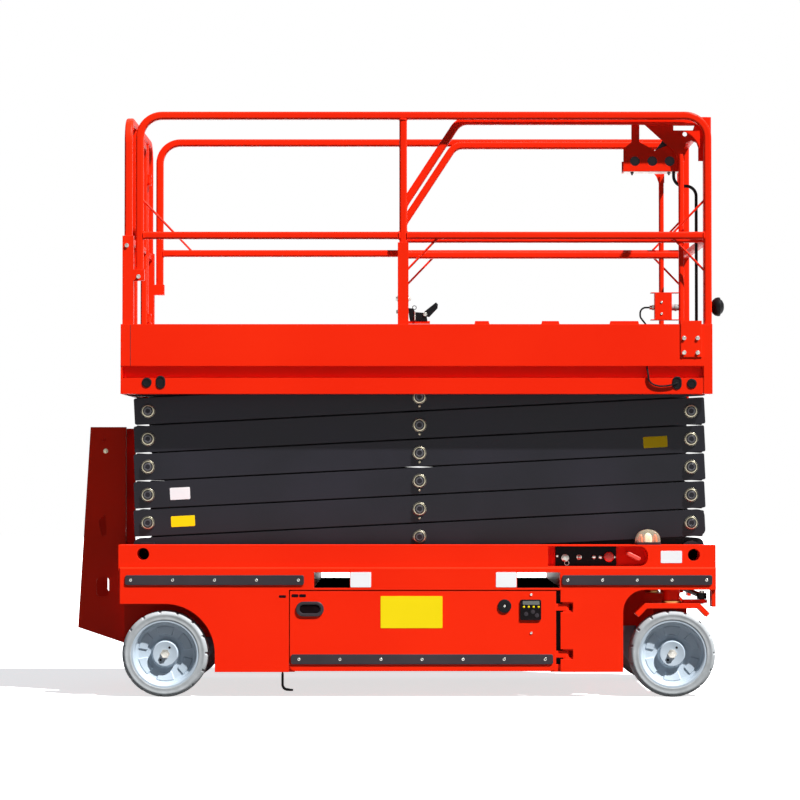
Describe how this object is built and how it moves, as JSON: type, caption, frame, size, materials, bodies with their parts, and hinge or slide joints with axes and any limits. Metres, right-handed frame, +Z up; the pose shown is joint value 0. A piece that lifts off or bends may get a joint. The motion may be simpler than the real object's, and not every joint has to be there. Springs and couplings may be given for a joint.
{
  "type": "electric slab scissor lift",
  "caption": "Stowed electric scissor lift: low chassis with swing-out trays, stacked scissor arms with lift cylinders, and a railed platform with a roll-out deck.",
  "frame": {"origin": "ground level, midway between the rear of the ladder and the front horn, on the centre line", "axes": "+X to the front (steered wheels), +Y to the left side, +Z up"},
  "size_m": [2.916, 1.248, 2.6055],
  "materials": {
    "red_paint": "semi-gloss",
    "charcoal_paint": "satin",
    "black_paint": "satin",
    "grey_tyre": "matte",
    "rim_paint": "semi-gloss",
    "bright_steel": "satin",
    "black_plastic": "matte",
    "amber_lens": "gloss",
    "tread_plate": "satin",
    "battery_case": "matte"
  },
  "bodies": {
    "chassis": {"chassis_tub": "red_paint", "side_rails": "red_paint", "side_plates": "red_paint", "scissor_anchors": "charcoal_paint", "rear_axle": "red_paint", "ladder": "red_paint", "guard_strips": "black_plastic", "ground_controls": "black_plastic", "beacon": "amber_lens"},
    "tray_right": {"tray_right": "red_paint", "tray_trim_right": "black_plastic", "battery_pack": "battery_case"},
    "tray_left": {"tray_left": "red_paint", "tray_trim_left": "black_plastic", "power_unit": "black_paint"},
    "knuckle_right": {"knuckle_right": "red_paint", "drive_motor_right": "black_paint"},
    "knuckle_left": {"knuckle_left": "red_paint", "drive_motor_left": "black_paint"},
    "tie_rod": {"tie_rod": "black_paint"},
    "wheel_rear_right": {"tyre_rear_right": "grey_tyre", "rim_rear_right": "rim_paint"},
    "wheel_rear_left": {"tyre_rear_left": "grey_tyre", "rim_rear_left": "rim_paint"},
    "wheel_front_right": {"tyre_front_right": "grey_tyre", "rim_front_right": "rim_paint"},
    "wheel_front_left": {"tyre_front_left": "grey_tyre", "rim_front_left": "rim_paint"},
    "outer_1": {"outer_arm_1": "charcoal_paint"},
    "inner_1": {"inner_arm_1": "charcoal_paint", "lower_rollers": "black_plastic"},
    "outer_2": {"outer_arm_2": "charcoal_paint"},
    "inner_2": {"inner_arm_2": "charcoal_paint"},
    "outer_3": {"outer_arm_3": "charcoal_paint"},
    "inner_3": {"inner_arm_3": "charcoal_paint"},
    "outer_4": {"outer_arm_4": "charcoal_paint"},
    "inner_4": {"inner_arm_4": "charcoal_paint"},
    "outer_5": {"outer_arm_5": "charcoal_paint"},
    "inner_5": {"inner_arm_5": "charcoal_paint"},
    "outer_6": {"outer_arm_6": "charcoal_paint", "upper_rollers": "black_plastic"},
    "inner_6": {"inner_arm_6": "charcoal_paint"},
    "lower_barrel": {"lower_cylinder_barrel": "black_paint"},
    "lower_rod": {"lower_cylinder_rod": "bright_steel"},
    "upper_barrel": {"upper_cylinder_barrel": "black_paint"},
    "upper_rod": {"upper_cylinder_rod": "bright_steel"},
    "platform": {"platform_frame": "red_paint", "main_deck": "tread_plate", "guardrails": "red_paint", "beam_cable": "black_plastic"},
    "gate": {"entry_gate": "red_paint"},
    "extension": {"extension_deck": "tread_plate", "extension_rails": "red_paint", "control_cradle": "red_paint", "control_console": "black_plastic", "outlet_box": "red_paint", "deck_latch": "black_plastic", "front_horn": "black_plastic", "extension_cables": "black_plastic"}
  },
  "joints": [
    {"name": "lift", "type": "hinge", "parent": "chassis", "child": "outer_1", "pos_m": [-1.123, 0, 0.643], "axis": [0, -1, 0], "range_deg": [0, 62]},
    {"name": "center_1", "type": "hinge", "parent": "outer_1", "child": "inner_1", "pos_m": [0.0945, 0, 0.7057], "axis": [0, -1, 0], "range_deg": [-124, 0]},
    {"name": "end_2", "type": "hinge", "parent": "inner_1", "child": "outer_2", "pos_m": [-1.123, 0, 0.7684], "axis": [0, -1, 0], "range_deg": [0, 124]},
    {"name": "center_2", "type": "hinge", "parent": "outer_2", "child": "inner_2", "pos_m": [0.0945, 0, 0.8311], "axis": [0, -1, 0], "range_deg": [-124, 0]},
    {"name": "end_3", "type": "hinge", "parent": "inner_2", "child": "outer_3", "pos_m": [-1.123, 0, 0.8938], "axis": [0, -1, 0], "range_deg": [0, 124]},
    {"name": "center_3", "type": "hinge", "parent": "outer_3", "child": "inner_3", "pos_m": [0.0945, 0, 0.9565], "axis": [0, -1, 0], "range_deg": [-124, 0]},
    {"name": "end_4", "type": "hinge", "parent": "inner_3", "child": "outer_4", "pos_m": [-1.123, 0, 1.0192], "axis": [0, -1, 0], "range_deg": [0, 124]},
    {"name": "center_4", "type": "hinge", "parent": "outer_4", "child": "inner_4", "pos_m": [0.0945, 0, 1.0819], "axis": [0, -1, 0], "range_deg": [-124, 0]},
    {"name": "end_5", "type": "hinge", "parent": "inner_4", "child": "outer_5", "pos_m": [-1.123, 0, 1.1446], "axis": [0, -1, 0], "range_deg": [0, 124]},
    {"name": "center_5", "type": "hinge", "parent": "outer_5", "child": "inner_5", "pos_m": [0.0945, 0, 1.2073], "axis": [0, -1, 0], "range_deg": [-124, 0]},
    {"name": "end_6", "type": "hinge", "parent": "inner_5", "child": "outer_6", "pos_m": [-1.123, 0, 1.27], "axis": [0, -1, 0], "range_deg": [0, 124]},
    {"name": "center_6", "type": "hinge", "parent": "outer_6", "child": "inner_6", "pos_m": [0.0945, 0, 1.3327], "axis": [0, -1, 0], "range_deg": [-124, 0]},
    {"name": "platform_level", "type": "hinge", "parent": "inner_6", "child": "platform", "pos_m": [-1.123, 0, 1.3954], "axis": [0, -1, 0], "range_deg": [0, 62]},
    {"name": "lower_cylinder_pivot", "type": "hinge", "parent": "inner_1", "child": "lower_barrel", "pos_m": [-0.91916, 0, 0.7579], "axis": [0, -1, 0], "range_deg": [0, 129.44]},
    {"name": "lower_cylinder_stroke", "type": "slide", "parent": "lower_barrel", "child": "lower_rod", "axis": [0.9974, 0, 0.072], "range_m": [0, 0.6861]},
    {"name": "upper_cylinder_pivot", "type": "hinge", "parent": "inner_4", "child": "upper_barrel", "pos_m": [-0.91916, 0, 1.1341], "axis": [0, -1, 0], "range_deg": [0, 129.44]},
    {"name": "upper_cylinder_stroke", "type": "slide", "parent": "upper_barrel", "child": "upper_rod", "axis": [0.9974, 0, 0.072], "range_m": [0, 0.6861]},
    {"name": "roll_rear_right", "type": "hinge", "parent": "chassis", "child": "wheel_rear_right", "pos_m": [-1.035, -0.5515, 0.1905], "axis": [0, 1, 0], "continuous": true},
    {"name": "roll_front_right", "type": "hinge", "parent": "knuckle_right", "child": "wheel_front_right", "pos_m": [1.215, -0.5515, 0.1905], "axis": [0, 1, 0], "continuous": true},
    {"name": "roll_rear_left", "type": "hinge", "parent": "chassis", "child": "wheel_rear_left", "pos_m": [-1.035, 0.5515, 0.1905], "axis": [0, 1, 0], "continuous": true},
    {"name": "roll_front_left", "type": "hinge", "parent": "knuckle_left", "child": "wheel_front_left", "pos_m": [1.215, 0.5515, 0.1905], "axis": [0, 1, 0], "continuous": true},
    {"name": "steer", "type": "hinge", "parent": "chassis", "child": "knuckle_right", "pos_m": [1.215, -0.5515, 0.45], "axis": [0, 0, 1], "range_deg": [-40, 40]},
    {"name": "steer_left", "type": "hinge", "parent": "chassis", "child": "knuckle_left", "pos_m": [1.215, 0.5515, 0.45], "axis": [0, 0, 1], "range_deg": [-40, 40]},
    {"name": "tie_rod_turn", "type": "hinge", "parent": "knuckle_right", "child": "tie_rod", "pos_m": [1.35, -0.5515, 0.445], "axis": [0, 0, 1], "range_deg": [-40, 40]},
    {"name": "tray_right_swing", "type": "hinge", "parent": "chassis", "child": "tray_right", "pos_m": [0.745, -0.594, 0.294], "axis": [0, 0, 1], "range_deg": [0, 95]},
    {"name": "tray_left_swing", "type": "hinge", "parent": "chassis", "child": "tray_left", "pos_m": [0.745, 0.594, 0.294], "axis": [0, 0, -1], "range_deg": [0, 95]},
    {"name": "gate_swing", "type": "hinge", "parent": "platform", "child": "gate", "pos_m": [-1.183, 0.268, 2.05], "axis": [0, 0, 1], "range_deg": [0, 90]},
    {"name": "extension_slide", "type": "slide", "parent": "platform", "child": "extension", "axis": [1, 0, 0], "range_m": [0, 0.9]}
  ],
  "couplings": [
    {"joint": "center_1", "follows": "lift", "ratio": -2},
    {"joint": "end_2", "follows": "lift", "ratio": 2},
    {"joint": "center_2", "follows": "lift", "ratio": -2},
    {"joint": "end_3", "follows": "lift", "ratio": 2},
    {"joint": "center_3", "follows": "lift", "ratio": -2},
    {"joint": "end_4", "follows": "lift", "ratio": 2},
    {"joint": "center_4", "follows": "lift", "ratio": -2},
    {"joint": "end_5", "follows": "lift", "ratio": 2},
    {"joint": "center_5", "follows": "lift", "ratio": -2},
    {"joint": "end_6", "follows": "lift", "ratio": 2},
    {"joint": "center_6", "follows": "lift", "ratio": -2},
    {"joint": "platform_level", "follows": "lift", "ratio": 1},
    {"joint": "lower_cylinder_pivot", "follows": "lift", "ratio": 2.0877},
    {"joint": "lower_cylinder_stroke", "follows": "lift", "m_per_rad": 0.63356},
    {"joint": "upper_cylinder_pivot", "follows": "lift", "ratio": 2.0877},
    {"joint": "upper_cylinder_stroke", "follows": "lift", "m_per_rad": 0.63356},
    {"joint": "steer_left", "follows": "steer", "ratio": 1},
    {"joint": "tie_rod_turn", "follows": "steer", "ratio": -1}
  ]
}
